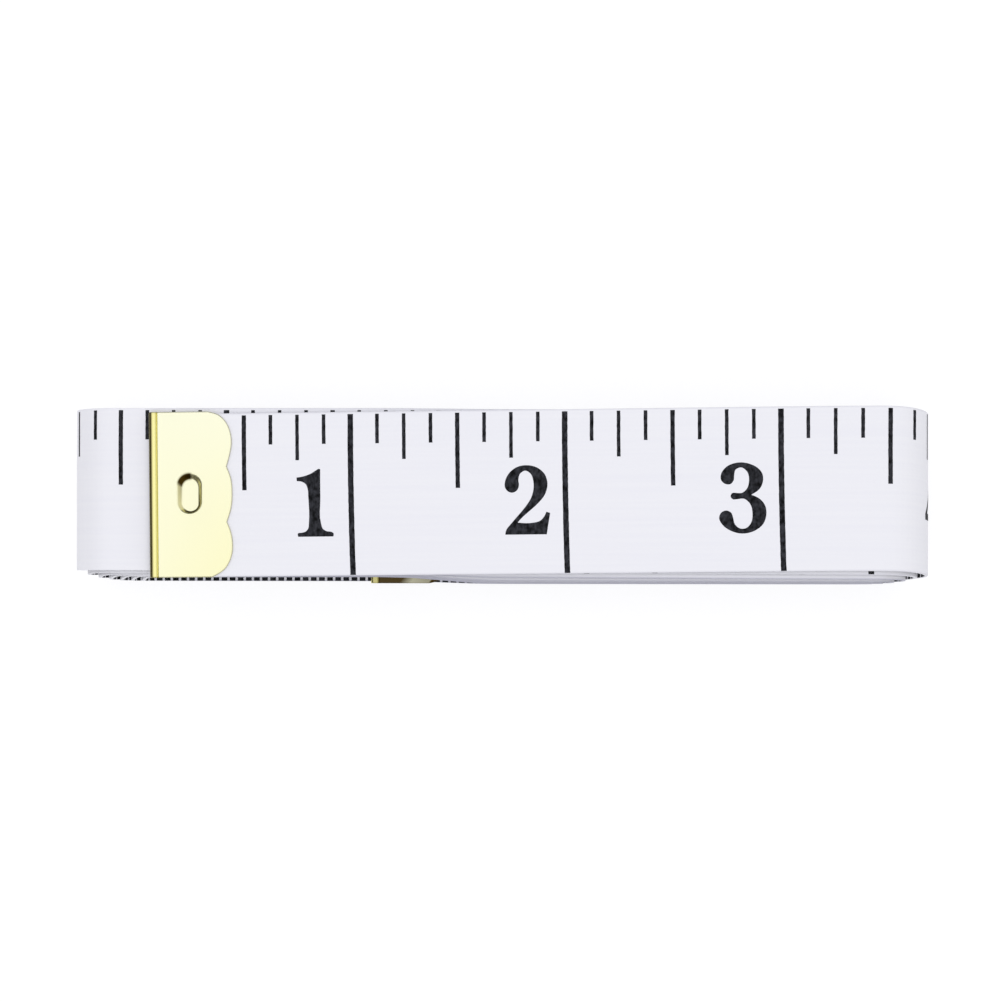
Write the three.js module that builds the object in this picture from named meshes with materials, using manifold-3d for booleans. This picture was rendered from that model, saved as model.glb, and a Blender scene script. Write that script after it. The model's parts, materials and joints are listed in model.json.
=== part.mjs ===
// Cloth tape measure, wound flat and loose, with a folded brass clip on each end of the tape.
// Millimetres, +Z up. The winding lies on its broad side: X runs along the laps, Y across the
// tape, and the origin is the middle of the bottom of the box around it all.
import * as THREE from 'three';
import { mergeVertices } from 'three/addons/utils/BufferGeometryUtils.js';
import Module from 'manifold-3d';

const wasm = await Module();
wasm.setup();

// The tape, measured between the outer faces of the folds of its two clips.
const tapeLength = 1524;
const tapeWidth = 19.4;
const tapeThickness = 0.3;

// A clip is one brass strip folded round the tape's end, its leaves cut with three lobes.
const leafThickness = 0.25;
const clipLength = 10;
const clipWidth = 19.7;
const clipPlay = 0.03;
const scallopDepth = 0.7;
const outerLobeDepth = 0.62;
const cornerDrop = 2.3;
const creaseInset = 0.95;
const creaseDepth = 0.08;
const creaseHalfWidth = 0.09;
const lobeCount = 3;
const outerCrestShare = 0.4;

// The oblong stake punched through each clip and the tape between its leaves.
const stakeInset = 4.85;
const stakeLength = 4.9;
const stakeWidth = 3;
const stakeFloorLength = 3.9;
const stakeFloorWidth = 1.8;
const stakeDepth = 0.5;
const stakePlay = 0.3;

// The winding. Its bends are counted from the core, even ones at the right, odd at the left.
const bendCount = 15;
const clipAirGap = 0.14;
const coreAirGap = 0.92;
const bendStep = 0.3;
const zeroEndInset = 4.5;
const coreEndShare = 0.681;
const coreShift = 1.56;
const outerHoldPower = 3.4;
const lowFrontFade = 0.97;
const leftTopBackShare = 0.57;
const leftBottomBackShare = 0.2;
const backStartShare = 0.5;
const backFullShare = 0.64;
const freeLapTurn = 0.6;
const cutGap = 0.3;

// How finely round forms are stepped, and how far a cutter runs past what it cuts.
const bendSteps = 12;
const flatSteps = 3;
const foldSteps = 8;
const lobeSteps = 8;
const stakeSteps = 8;
const cutOverrun = 0.1;

const lapGap = leafThickness + clipPlay + clipAirGap;
const lapPitch = tapeThickness + lapGap;
const coreRadius = (tapeThickness + leafThickness + clipPlay + coreAirGap) / 2;
const clipThickness = tapeThickness + 2 * (clipPlay + leafThickness);
const outerBend = bendCount - 1;

const tapeMaterial = () =>
  new THREE.MeshStandardMaterial({ color: 0xecebf2, roughness: 0.55, metalness: 0 });
const brassMaterial = () =>
  new THREE.MeshStandardMaterial({ color: 0xd8c07a, roughness: 0.3, metalness: 1 });

// Bend k is a half circle about a centre that stands reach(k) from the middle of the winding.
const bendRadius = (bend) => coreRadius + (bend * lapPitch) / 2;
const isRight = (bend) => bend % 2 === 0;
const axisHeight = tapeThickness / 2 + bendRadius(outerBend);
const bendHeight = (bend) => (isRight(bend) ? axisHeight : axisHeight - lapPitch / 2);

// The innermost reach that uses up the tape: bends, flats between them, and the two ends.
function coreReachFor(length) {
  let curved = 0;
  let steps = 0;
  for (let bend = 0; bend < bendCount; bend += 1) {
    curved += Math.PI * bendRadius(bend);
    steps += bend < outerBend ? 2 * bend + 1 : 2 * bend - 1;
  }
  const flatsPerReach = 2 * bendCount + 2 * coreEndShare;
  const spread = bendStep * (steps + coreEndShare);
  return (length - curved - spread + zeroEndInset) / flatsPerReach;
}

const coreReach = coreReachFor(tapeLength);
const reach = (bend) => coreReach + bend * bendStep;
const freeLapLength = reach(outerBend) + reach(outerBend - 1) - zeroEndInset;
const coreEndX = reach(0) - coreEndShare * (reach(0) + reach(1));

// The core is pushed out to the front and takes the inner laps with it. The outer ones hold
// back, most of all at the left and on top. The laps run a little slantwise, those above the
// core the most, so their left ends lie further back.
function sideShift(x, z, bend) {
  const left = (1 - x / reach(outerBend)) / 2;
  const top = (1 + (z - axisHeight) / bendRadius(outerBend)) / 2;
  const level = THREE.MathUtils.clamp(bend / (outerBend - 1), 0, 1);
  const held = level ** outerHoldPower * Math.exp(-lowFrontFade * (1 - top) * (1 - left));
  const rise = THREE.MathUtils.smoothstep((z - axisHeight) / bendRadius(bend), 0, 1);
  const back = THREE.MathUtils.lerp(leftBottomBackShare, leftTopBackShare, rise);
  const settled = THREE.MathUtils.smoothstep(left, backStartShare, backFullShare);
  return -coreShift * (1 - held) * (1 - back * settled);
}

// The stations of the wound strip, from the outermost bend in to the core: the middle of the
// tape, the way it faces outwards, and how far the lap sits to one side.
function woundStations() {
  const stations = [];
  const add = (x, z, angle, bend) => {
    const side = sideShift(x, z, bend);
    stations.push({ x, z, side, nx: Math.cos(angle), nz: Math.sin(angle) });
  };
  const addFlat = (from, to, height, angle, bend) => {
    for (let step = 1; step < flatSteps; step += 1) {
      const along = step / flatSteps;
      add(from + (to - from) * along, height, angle, bend - along);
    }
  };
  for (let bend = outerBend; bend >= 0; bend -= 1) {
    const centre = isRight(bend) ? reach(bend) : -reach(bend);
    const startAngle = isRight(bend) ? Math.PI / 2 : -Math.PI / 2;
    for (let step = 0; step <= bendSteps; step += 1) {
      const angle = startAngle - (Math.PI * step) / bendSteps;
      const x = centre + bendRadius(bend) * Math.cos(angle);
      add(x, bendHeight(bend) + bendRadius(bend) * Math.sin(angle), angle, bend);
    }
    const endAngle = startAngle - Math.PI;
    const height = bendHeight(bend) + bendRadius(bend) * Math.sin(endAngle);
    const next = isRight(bend) ? -reach(bend - 1) : reach(bend - 1);
    if (bend > 0) {
      addFlat(centre, next, height, endAngle, bend);
    } else {
      const tapeEnd = coreEndX + clipThickness / 2;
      addFlat(centre, tapeEnd, height, endAngle, bend);
      add(tapeEnd, height, endAngle, bend);
    }
  }
  return stations;
}

// A closed body through rings of points, which run anticlockwise seen along the way it goes.
function loft(rings) {
  const count = rings[0].length;
  const indices = [];
  for (let ring = 0; ring + 1 < rings.length; ring += 1) {
    for (let corner = 0; corner < count; corner += 1) {
      const a = ring * count + corner;
      const b = ring * count + ((corner + 1) % count);
      indices.push(a, a + count, b + count, a, b + count, b);
    }
  }
  const last = (rings.length - 1) * count;
  for (let corner = 1; corner + 1 < count; corner += 1) {
    indices.push(0, corner, corner + 1, last, last + corner + 1, last + corner);
  }
  const geometry = new THREE.BufferGeometry();
  geometry.setAttribute('position', new THREE.Float32BufferAttribute(rings.flat(2), 3));
  geometry.setIndex(indices);
  return geometry;
}

function solidOf(geometry) {
  const bare = geometry.clone();
  bare.deleteAttribute('normal');
  bare.deleteAttribute('uv');
  const merged = mergeVertices(bare);
  const vertProperties = new Float32Array(merged.attributes.position.array);
  const triVerts = new Uint32Array(merged.index.array);
  return new wasm.Manifold(new wasm.Mesh({ numProp: 3, vertProperties, triVerts }));
}

function geometryOf(solid) {
  const mesh = solid.getMesh();
  const geometry = new THREE.BufferGeometry();
  geometry.setAttribute('position', new THREE.Float32BufferAttribute(mesh.vertProperties, 3));
  geometry.setIndex(new THREE.Uint32BufferAttribute(mesh.triVerts, 1));
  return geometry;
}

function namedMesh(name, geometry, material) {
  const mesh = new THREE.Mesh(geometry, material);
  mesh.name = name;
  return mesh;
}

// An oblong with round ends, longer across the tape, as one ring at a given height.
function oblongRing(centreX, length, width, height) {
  const radius = width / 2;
  const ring = [];
  for (const end of [1, -1]) {
    const middle = end * (length / 2 - radius);
    for (let step = 0; step <= stakeSteps; step += 1) {
      const angle = (end > 0 ? Math.PI : 0) - (Math.PI * step) / stakeSteps;
      ring.push([centreX + radius * Math.cos(angle), middle + radius * Math.sin(angle), height]);
    }
  }
  return ring;
}

function oblongPrism(centreX, length, width, low, high) {
  return loft([low, high].map((height) => oblongRing(centreX, length, width, height)));
}

// The oblong slot that the stake passes through, in a tape whose mid-plane is at zero height.
function slotCutter(centreX) {
  const half = tapeThickness / 2 + cutOverrun;
  const length = stakeLength + 2 * stakePlay;
  return oblongPrism(centreX, length, stakeWidth + 2 * stakePlay, -half, half);
}

// Points of the arc through three given points, the first left out.
function arcThrough(start, middle, end, steps) {
  const [a, b, c] = [start, middle, end].map(([x, y]) => new THREE.Vector2(x, y));
  const twice = 2 * (a.x * (b.y - c.y) + b.x * (c.y - a.y) + c.x * (a.y - b.y));
  const [aa, bb, cc] = [a, b, c].map((point) => point.lengthSq());
  const centre = new THREE.Vector2(
    (aa * (b.y - c.y) + bb * (c.y - a.y) + cc * (a.y - b.y)) / twice,
    (aa * (c.x - b.x) + bb * (a.x - c.x) + cc * (b.x - a.x)) / twice,
  );
  const [from, via, to] = [a, b, c].map((point) => point.clone().sub(centre));
  const turn = (p, q) => Math.atan2(p.cross(q), p.dot(q));
  const sweep = turn(from, via) + turn(via, to);
  const points = [];
  for (let step = 1; step <= steps; step += 1) {
    const spoke = from.clone().rotateAround(new THREE.Vector2(), (sweep * step) / steps);
    points.push(spoke.add(centre).toArray());
  }
  return points;
}

function extrude(points, depth) {
  const shape = new THREE.Shape(points.map(([x, y]) => new THREE.Vector2(x, y)));
  return new THREE.ExtrudeGeometry(shape, { depth, bevelEnabled: false });
}

// The leaf seen from above: the fold at x = 0, three lobes at the far edge.
function leafOutline() {
  const side = clipWidth / 2;
  const lobe = clipWidth / lobeCount;
  const valley = clipLength - scallopDepth;
  const crest = valley + outerLobeDepth;
  const corner = valley - cornerDrop;
  const crestSide = lobe / 2 + lobe * outerCrestShare;
  const points = [[0, -side], [corner, -side]];
  points.push(...arcThrough([corner, -side], [crest, -crestSide], [valley, -lobe / 2], lobeSteps));
  points.push(...arcThrough([valley, -lobe / 2], [clipLength, 0], [valley, lobe / 2], lobeSteps));
  points.push(...arcThrough([valley, lobe / 2], [crest, crestSide], [corner, side], lobeSteps));
  points.push([0, side]);
  return points;
}

// The clip seen from the side: a round fold, a crease behind it on each leaf, and the slot
// that holds the tape.
function clipSection() {
  const outside = clipThickness / 2;
  const inside = outside - leafThickness;
  const far = clipLength + cutOverrun;
  const crease = (face) => [
    [creaseInset + face * creaseHalfWidth, face * outside],
    [creaseInset, face * (outside - creaseDepth)],
    [creaseInset - face * creaseHalfWidth, face * outside],
  ];
  const fold = (radius) => {
    const start = [outside, radius];
    return [start, ...arcThrough(start, [outside - radius, 0], [outside, -radius], foldSteps)];
  };
  return [
    [far, outside],
    ...crease(1),
    ...fold(outside),
    ...crease(-1),
    [far, -outside],
    [far, -inside],
    ...fold(inside).reverse(),
    [far, inside],
  ];
}

// A clip with its fold's outer face at x = 0 and the middle of the tape at z = 0.
function clipGeometry() {
  const outside = clipThickness / 2;
  const section = extrude(clipSection(), clipWidth + 2 * cutOverrun);
  section.rotateX(Math.PI / 2);
  section.translate(0, clipWidth / 2 + cutOverrun, 0);
  const plan = extrude(leafOutline(), clipThickness + 2 * cutOverrun);
  plan.translate(0, 0, -outside - cutOverrun);
  const pillarTop = outside - leafThickness / 2;
  const pillar = oblongPrism(stakeInset, stakeLength, stakeWidth, -pillarTop, pillarTop);
  const dimple = loft([
    oblongRing(stakeInset, stakeFloorLength, stakeFloorWidth, outside - stakeDepth),
    oblongRing(stakeInset, stakeLength, stakeWidth, outside),
    oblongRing(stakeInset, stakeLength, stakeWidth, outside + cutOverrun),
  ]);
  const folded = solidOf(section).intersect(solidOf(plan));
  return geometryOf(folded.add(solidOf(pillar)).subtract(solidOf(dimple)));
}

const stations = woundStations();

function woundTape() {
  const rings = stations.map(({ x, z, side, nx, nz }) => {
    const outer = [x + (nx * tapeThickness) / 2, z + (nz * tapeThickness) / 2];
    const inner = [x - (nx * tapeThickness) / 2, z - (nz * tapeThickness) / 2];
    const front = side - tapeWidth / 2;
    const back = side + tapeWidth / 2;
    return [
      [outer[0], front, outer[1]],
      [outer[0], back, outer[1]],
      [inner[0], back, inner[1]],
      [inner[0], front, inner[1]],
    ];
  });
  const end = stations[stations.length - 1];
  const slot = slotCutter(coreEndX + stakeInset);
  slot.translate(0, end.side, end.z);
  const cut = solidOf(loft(rings)).subtract(solidOf(slot));
  return namedMesh('wound_tape', geometryOf(cut), tapeMaterial());
}

function endClip() {
  const end = stations[stations.length - 1];
  const clip = namedMesh('end_clip', clipGeometry(), brassMaterial());
  clip.position.set(coreEndX, end.side, end.z);
  clip.rotation.x = Math.PI;
  return clip;
}

// The free lap lies flat on top, turned a little from the laps below about the end where it
// joins the outermost bend. Its clip goes with it.
function freeEnd() {
  const start = stations[0];
  const lapEnd = -freeLapLength + clipThickness / 2;
  const length = -cutGap - lapEnd;
  const strip = new THREE.BoxGeometry(length, tapeWidth, tapeThickness);
  strip.translate(lapEnd + length / 2, 0, 0);
  const slot = slotCutter(-freeLapLength + stakeInset);
  const cut = solidOf(strip).subtract(solidOf(slot));
  const clip = namedMesh('start_clip', clipGeometry(), brassMaterial());
  clip.position.x = -freeLapLength;
  const end = new THREE.Group();
  end.add(namedMesh('free_lap', geometryOf(cut), tapeMaterial()), clip);
  end.position.set(start.x, start.side, start.z);
  end.rotation.z = THREE.MathUtils.degToRad(freeLapTurn);
  return end;
}

// The least gap between one lap and any other, from the corners of each lap to the faces of
// the rest, leaving out what lies within a bend's length along the strip.
function leastGap() {
  const face = (way) =>
    stations.map(({ x, z, nx, nz }) => {
      const half = (way * tapeThickness) / 2;
      return new THREE.Vector3(x + nx * half, 0, z + nz * half);
    });
  const faces = [face(1), face(-1)];
  const along = [0];
  stations.slice(1).forEach(({ x, z }, index) => {
    along.push(along[index] + Math.hypot(x - stations[index].x, z - stations[index].z));
  });
  const near = Math.PI * bendRadius(0) + tapeThickness;
  const line = new THREE.Line3();
  const foot = new THREE.Vector3();
  let least = Infinity;
  for (const points of faces) {
    points.forEach((point, index) => {
      for (const others of faces) {
        for (let other = 0; other + 1 < others.length; other += 1) {
          const after = along[other] - along[index];
          const before = along[index] - along[other + 1];
          if (Math.max(after, before) > near) {
            line.set(others[other], others[other + 1]);
            line.closestPointToPoint(point, true, foot);
            least = Math.min(least, foot.distanceTo(point));
          }
        }
      }
    });
  }
  return least;
}

console.log(`least gap of the winding to itself: ${leastGap().toFixed(3)} mm`);

const winding = new THREE.Group();
winding.add(woundTape(), endClip(), freeEnd());
winding.updateMatrixWorld(true);
const box = new THREE.Box3().setFromObject(winding, true);
const middle = box.getCenter(new THREE.Vector3());
winding.position.set(-middle.x, -middle.y, -box.min.z);

const group = new THREE.Group();
group.add(winding);

export default group;
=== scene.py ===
# %% [markdown]
# # A cloth tape measure, wound flat
#
# The real object is one strip of vinyl-coated glass cloth, a metre and a half long, printed in
# inches on one face and in centimetres on the other. A folded brass clip closes each end. The
# strip is wound flat and loose, so it lies as a low oval pack with its clipped start on top.
#
# The CAD model is loaded first, as a fixed frame. It says where the winding stands, which parts
# move, and how large everything is. The pieces below take the places of its plain solids.

# %% The CAD frame
import bisect
import json
import math
import random

import bpy
import numpy as np
from mathutils import Matrix, Vector
from mathutils.geometry import delaunay_2d_cdt


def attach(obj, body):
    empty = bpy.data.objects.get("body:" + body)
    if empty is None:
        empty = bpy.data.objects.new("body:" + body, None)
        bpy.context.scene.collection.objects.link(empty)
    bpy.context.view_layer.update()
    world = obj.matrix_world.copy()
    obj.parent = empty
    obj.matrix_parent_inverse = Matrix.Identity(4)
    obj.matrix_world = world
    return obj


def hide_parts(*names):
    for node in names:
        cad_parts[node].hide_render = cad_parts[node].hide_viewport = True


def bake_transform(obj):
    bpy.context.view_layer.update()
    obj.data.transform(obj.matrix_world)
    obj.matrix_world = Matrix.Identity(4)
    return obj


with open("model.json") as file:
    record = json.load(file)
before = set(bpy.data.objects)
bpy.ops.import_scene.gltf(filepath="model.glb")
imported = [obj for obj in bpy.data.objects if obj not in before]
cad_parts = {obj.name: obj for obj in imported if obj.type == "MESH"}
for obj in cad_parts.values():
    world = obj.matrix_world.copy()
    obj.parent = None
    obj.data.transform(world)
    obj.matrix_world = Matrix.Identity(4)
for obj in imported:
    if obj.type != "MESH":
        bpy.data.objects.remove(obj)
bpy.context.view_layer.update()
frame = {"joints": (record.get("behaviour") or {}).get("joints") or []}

MM = 0.001
hinge = frame["joints"][0]
hinge_x, hinge_y, hinge_z = (value / MM for value in hinge["pos_m"])

# %% [markdown]
# ## The camera
#
# The photograph looks almost straight down on the pack from about 23 centimetres, so the far laps
# shrink and the near edges of the lower laps peep out. A camera in Blender looks along its own
# -Z, so two small turns away from straight down are enough. Focal length and distance were
# settled together: the printed scale gives one, the way the lower laps shrink gives the other.
#
# The inch lines stay parallel in the photograph, so the camera isn't tipped to bring the pack
# into the middle of the picture. Its frame is shifted instead, as that of a view camera is.

# %% The camera
image_pixels = 1002
focal_pixels = 1947.9
framing_shift = 85.6 / image_pixels
camera_place = Vector((9.825, -10.83, 241.94)) * MM
camera_turn = (
    Matrix.Rotation(math.radians(-0.084), 3, "Z")
    @ Matrix.Rotation(math.radians(-2.314), 3, "Y")
)

camera = bpy.data.objects.new("camera", bpy.data.cameras.new("camera"))
bpy.context.scene.collection.objects.link(camera)
camera.data.sensor_width = 36
camera.data.lens = focal_pixels / image_pixels * camera.data.sensor_width
camera.data.shift_y = framing_shift
camera.data.clip_start = 0.01
camera.matrix_world = Matrix.Translation(camera_place) @ camera_turn.transposed().to_4x4()
bpy.context.scene.camera = camera
print(f"lens {camera.data.lens:.2f} mm, {camera_place.z / MM:.1f} mm above the floor")

# %% [markdown]
# ## Small helpers for materials and for the studio
#
# Every material is a handful of nodes. One function adds a node, sets its settings and joins its
# inputs, so that each material below reads as a list. A second one turns an sRGB hex colour, as
# a paint program shows it, into the linear light that Blender works in. The floor and the room
# both ask whether they are looked at or only light something, and the floor and the cards are
# both plain meshes, so those steps are functions too.

# %% Helpers
def add_node(tree, kind, inputs=None, **settings):
    """Adds a node; an input takes a value, or another node's output to be linked to it."""
    node = tree.nodes.new(kind)
    for name, value in settings.items():
        setattr(node, name, value)
    for name, value in (inputs or {}).items():
        if isinstance(value, bpy.types.NodeSocket):
            tree.links.new(value, node.inputs[name])
        else:
            node.inputs[name].default_value = value
    return node


def from_hex(code):
    """The linear colour of an sRGB hex code."""
    parts = [int(code[at : at + 2], 16) / 255 for at in (0, 2, 4)]
    linear = [c / 12.92 if c <= 0.04045 else ((c + 0.055) / 1.055) ** 2.4 for c in parts]
    return (*linear, 1.0)


def new_material(name):
    """An empty node material and its tree."""
    material = bpy.data.materials.new(name)
    material.use_nodes = True
    material.node_tree.nodes.clear()
    return material, material.node_tree


def seen_directly(tree):
    """1 where the camera, or a mirror or glass in front of it, looks at a surface, and 0 elsewhere."""
    ray = add_node(tree, "ShaderNodeLightPath")
    seen = add_node(tree, "ShaderNodeMath", {0: ray.outputs["Is Camera Ray"],
                    1: ray.outputs["Is Glossy Ray"]}, operation="MAXIMUM")
    seen = add_node(tree, "ShaderNodeMath", {0: seen.outputs[0],
                    1: ray.outputs["Is Transmission Ray"]}, operation="MAXIMUM")
    return seen.outputs[0]


def add_prop(name, points, faces, material):
    """A piece of the studio, from points in metres."""
    mesh = bpy.data.meshes.new(name)
    mesh.from_pydata(points, [], faces)
    mesh.materials.append(material)
    prop = bpy.data.objects.new(name, mesh)
    bpy.context.scene.collection.objects.link(prop)
    return prop


print("middle grey 808080 is", round(from_hex("808080")[0], 3), "in linear light")

# %% [markdown]
# ## Floor and light
#
# The pack was photographed on a white sheet that comes out as pure white. More lamp would burn
# out the tape as well, so the whiteness comes from the floor's own material: what the camera and
# the brass see of it is part real, shadowed floor and part plain white glow. Its diffuse side,
# which throws light back on the tape, is ordinary white card.

# %% The floor
# The visual tape is 0.06 mm thicker on each face than the CAD strip and carries ink, so the floor
# lies just below both.
floor_height = -0.08
floor_half = 3.0

floor_material, tree = new_material("white_card_floor")
card = add_node(tree, "ShaderNodeBsdfDiffuse", {"Color": from_hex("E6E6E6")})
shadowed = add_node(tree, "ShaderNodeBsdfDiffuse", {"Color": from_hex("828287")})
glow = add_node(tree, "ShaderNodeEmission", {"Color": (1, 1, 1, 1), "Strength": 0.82})
white = add_node(tree, "ShaderNodeAddShader", {0: shadowed.outputs[0], 1: glow.outputs[0]})
mixed = add_node(tree, "ShaderNodeMixShader", {0: seen_directly(tree), 1: card.outputs[0],
                 2: white.outputs[0]})
add_node(tree, "ShaderNodeOutputMaterial", {"Surface": mixed.outputs[0]})

corners = [(-1, -1), (1, -1), (1, 1), (-1, 1)]
floor = add_prop("floor", [(x * floor_half, y * floor_half, floor_height * MM) for x, y in corners],
                 [(0, 1, 2, 3)], floor_material)
print("floor", 2 * floor_half, "m wide")

# %% [markdown]
# The light is what a small product studio has: a pale room, one large softbox straight above, and
# curved cards round the table, dark on the left and pale on the right. The softbox gives the tape
# its even white. The cards matter only to the brass: polished metal shows what stands round it,
# and without something dark there the fold and the punched hollow would vanish in the white. The
# brass doesn't see the softbox itself, because its disc would be one white on top of another.

# %% Room, softbox and two cards
room_level = 0.756
softbox_radius = 0.5
softbox_height = 0.55
softbox_watts = 1.4

world = bpy.data.worlds.new("pale_room")
bpy.context.scene.world = world
world.use_nodes = True
tree = world.node_tree
tree.nodes.clear()
strength = add_node(tree, "ShaderNodeMapRange", {"Value": seen_directly(tree), "To Min": room_level,
                    "To Max": 1.0})
backdrop = add_node(tree, "ShaderNodeBackground", {"Color": (1, 1, 1, 1), "Strength": strength.outputs[0]})
add_node(tree, "ShaderNodeOutputWorld", {"Surface": backdrop.outputs[0]})

lamp = bpy.data.lights.new("softbox", "AREA")
lamp.shape = "DISK"
lamp.size = 2 * softbox_radius
lamp.energy = softbox_watts
softbox = bpy.data.objects.new("softbox", lamp)
softbox.location = (0, 0, softbox_height)
softbox.visible_glossy = False
bpy.context.scene.collection.objects.link(softbox)

card_radius, card_low, card_high, card_sides = 0.6, 0.004, 0.5, 24
for name, shade, first, last in (("dark_card", "64625A", 60, 288), ("pale_card", "DAD8CE", 288, 420)):
    card_material, tree = new_material(name)
    dull = add_node(tree, "ShaderNodeEmission", {"Color": from_hex(shade), "Strength": 1.0})
    add_node(tree, "ShaderNodeOutputMaterial", {"Surface": dull.outputs[0]})
    bow = np.radians(np.linspace(first, last, card_sides + 1))
    points = [(card_radius * math.cos(turn), card_radius * math.sin(turn), z)
              for z in (card_low, card_high) for turn in bow]
    above = card_sides + 1
    faces = [(side, side + 1, above + side + 1, above + side) for side in range(card_sides)]
    card = add_prop(name, points, faces, card_material)
    card.visible_camera = card.visible_diffuse = card.visible_shadow = False
    card.visible_transmission = False

bpy.context.scene.view_settings.view_transform = "Standard"
print("softbox", 2 * softbox_radius, "m across at", softbox_height, "m")

# %% [markdown]
# ## The strip's path
#
# A tape that is wound round nothing lies in straight laps joined by half circles. The outermost
# bend has a radius of nearly 6 mm, and each bend further in is 0.36 mm tighter. The straight laps
# are as long as it takes to use up 1524 mm of tape. So the path isn't drawn: it is worked out,
# from the start of the tape inwards, as a list of stations. Each has its distance along the tape,
# its place, and the direction in which the inch face looks.
#
# The pack wasn't tapped square after winding. Its core was pushed forward and took the inner laps
# along, while the outer ones held back, most of all at the left and on top. This is why a sliver
# of the lower laps shows along the near edge.

# %% The law of the winding, in millimetres
tape_length, tape_width = 1524.0, 19.4
tape_thickness = 0.42
lap_pitch, core_radius = 0.72, 0.75
bend_count, bend_step = 15, 0.3
zero_end_inset, core_end_share = 4.5, 0.681
core_shift, hold_power, low_front_fade = 1.56, 3.4, 0.97
left_top_back, left_bottom_back = 0.57, 0.2
back_start, back_full = 0.5, 0.64
free_lap_turn = math.radians(0.6)
hinge_gap = 0.15
lowest_lap = 0.15
outer_bend = bend_count - 1


def bend_radius(bend):
    return core_radius + bend * lap_pitch / 2


def core_reach_for(length):
    """How far the innermost bends stand from the middle, so that the whole length is used up."""
    curved = sum(math.pi * bend_radius(bend) for bend in range(bend_count))
    steps = sum(2 * bend + (1 if bend < outer_bend else -1) for bend in range(bend_count))
    spread = bend_step * (steps + core_end_share)
    return (length - curved - spread + zero_end_inset) / (2 * bend_count + 2 * core_end_share)


core_reach = core_reach_for(tape_length)
axis_height = lowest_lap + bend_radius(outer_bend)


def reach(bend):
    return core_reach + bend * bend_step


def bend_height(bend):
    return axis_height if bend % 2 == 0 else axis_height - lap_pitch / 2


def smooth_step(value):
    """Rises smoothly from 0 to 1 while the value does."""
    value = np.clip(value, 0, 1)
    return value * value * (3 - 2 * value)


def side_shift(x, z, bend):
    """How far forward a lap has slipped, most of all at the core."""
    left = (1 - x / reach(outer_bend)) / 2
    top = (1 + (z - axis_height) / bend_radius(outer_bend)) / 2
    level = min(1, max(0, bend / (outer_bend - 1)))
    held = level**hold_power * math.exp(-low_front_fade * (1 - top) * (1 - left))
    rise = smooth_step((z - axis_height) / bend_radius(bend))
    back = left_bottom_back + (left_top_back - left_bottom_back) * rise
    at_left = smooth_step((left - back_start) / (back_full - back_start))
    return -core_shift * (1 - held) * (1 - back * at_left)


free_lap_length = reach(outer_bend) + reach(outer_bend - 1) - zero_end_inset
core_end_x = reach(0) - core_end_share * (reach(0) + reach(1))
shift_x = hinge_x + hinge_gap - reach(outer_bend)
print(f"free lap {free_lap_length:.2f} mm, innermost bends {core_reach:.2f} mm from the middle")

# %% [markdown]
# The stations stand close together where the tape bends and far apart where it lies flat. The
# first lap is the one that lifts, and its stations close up over the last seven and a half
# millimetres before its bend too. Its start is turned 0.6 degrees from the laps below.

# %% Stations along the strip
clip_outside = 0.43
curl_length = 7.5
turn_length = 12.0
curl_margin = 1
curl_step, flat_step, bend_angle_step = 0.2, 4.0, 5.6
free_lap_rows, least_bend_steps, bend_step_bias = 22, 14, 4

stations = []
bend_marks = []


def add_station(s, x, z, angle, side, turn=0.0, bends=False):
    """One station; the angle is that of the inch face's outward direction."""
    stations.append((s, x, z, math.cos(angle), math.sin(angle), side, turn))
    if bends:
        bend_marks.append(s)


top_height = axis_height + bend_radius(outer_bend)
start_s = clip_outside
first_flat = free_lap_length - curl_length - curl_margin
flat_places = list(np.linspace(start_s, first_flat, free_lap_rows))
curl_rows = int((curl_length + curl_margin) / curl_step)
curl_places = list(np.linspace(first_flat, free_lap_length, curl_rows))
for s in flat_places[:-1] + curl_places[:-1]:
    left = free_lap_length - s
    if left < turn_length:
        turn, slip = free_lap_turn * left / turn_length, left * left / (2 * turn_length)
    else:
        turn, slip = free_lap_turn, left - turn_length / 2
    add_station(s, reach(outer_bend) - left, top_height, math.pi / 2, -free_lap_turn * slip,
                turn, s >= first_flat)

along = free_lap_length
for bend in range(outer_bend, -1, -1):
    right = bend % 2 == 0
    centre = reach(bend) if right else -reach(bend)
    begin = math.pi / 2 if right else -math.pi / 2
    radius = bend_radius(bend)
    size_share = (bend + bend_step_bias) / (outer_bend + bend_step_bias)
    steps = max(least_bend_steps, round(180 / bend_angle_step * size_share))
    for step in range(steps + 1):
        angle = begin - math.pi * step / steps
        x, z = centre + radius * math.cos(angle), bend_height(bend) + radius * math.sin(angle)
        add_station(along + math.pi * radius * step / steps, x, z, angle, side_shift(x, z, bend), 0, True)
    along += math.pi * radius
    if bend == outer_bend:
        seam_s = along
    angle = begin - math.pi
    z = bend_height(bend) + radius * math.sin(angle)
    stop = (-reach(bend - 1) if right else reach(bend - 1)) if bend else core_end_x + clip_outside
    span = abs(stop - centre)
    steps = round(span / flat_step)
    for step in range(1, steps + (bend == 0)):
        share = step / steps
        x = centre + (stop - centre) * share
        add_station(along + span * share, x, z, angle, side_shift(x, z, bend - share if bend else 0))
    along += span

path = np.array(stations).T
print(f"{len(stations)} stations, {along + clip_outside:.2f} mm of tape, seam at {seam_s:.2f} mm")

# %% [markdown]
# Everything on the tape is now laid out flat, as a printer would: s runs along the tape and w
# across it. One function winds flat points up, at a given height off the middle of the tape. A
# second one closes a flat layout into a thin solid, with a front, a back and walls between them.
# Tape, ink and clips all go through it.

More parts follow.
